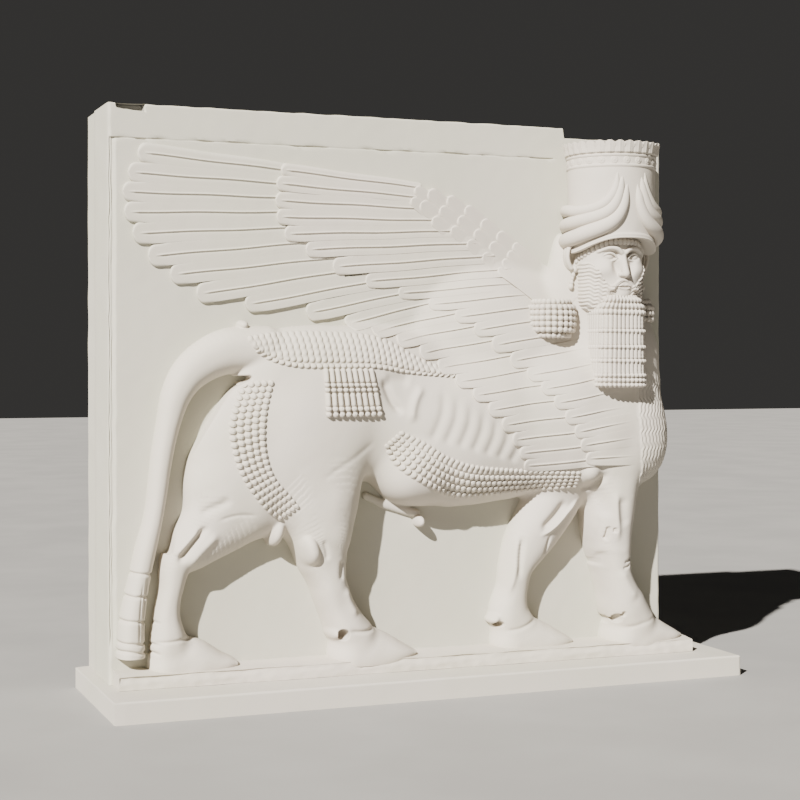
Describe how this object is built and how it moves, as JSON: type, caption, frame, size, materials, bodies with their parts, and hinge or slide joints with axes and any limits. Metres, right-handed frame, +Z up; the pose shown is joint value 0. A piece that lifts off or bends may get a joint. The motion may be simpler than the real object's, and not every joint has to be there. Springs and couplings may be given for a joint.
{
  "type": "assyrian lamassu statue",
  "caption": "Winged gateway bull with a bearded human head and tall horned crown, carved in high relief on a thick upright stone slab that stands on its own low plinth.",
  "frame": {"origin": "centre of the bounding box in plan, on the floor under the plinth", "axes": "+Z up, +X along the slab towards the bull's head, -Y out of the carved face towards the viewer"},
  "size_m": [5.01, 1.445, 4.36],
  "materials": {
    "carved_stone": "matte, dry tooled pale limestone or gypsum",
    "plinth_stone": "matte, rubbed smooth"
  },
  "bodies": {
    "root": {"carved_block": "carved_stone", "plinth": "plinth_stone"}
  },
  "joints": []
}
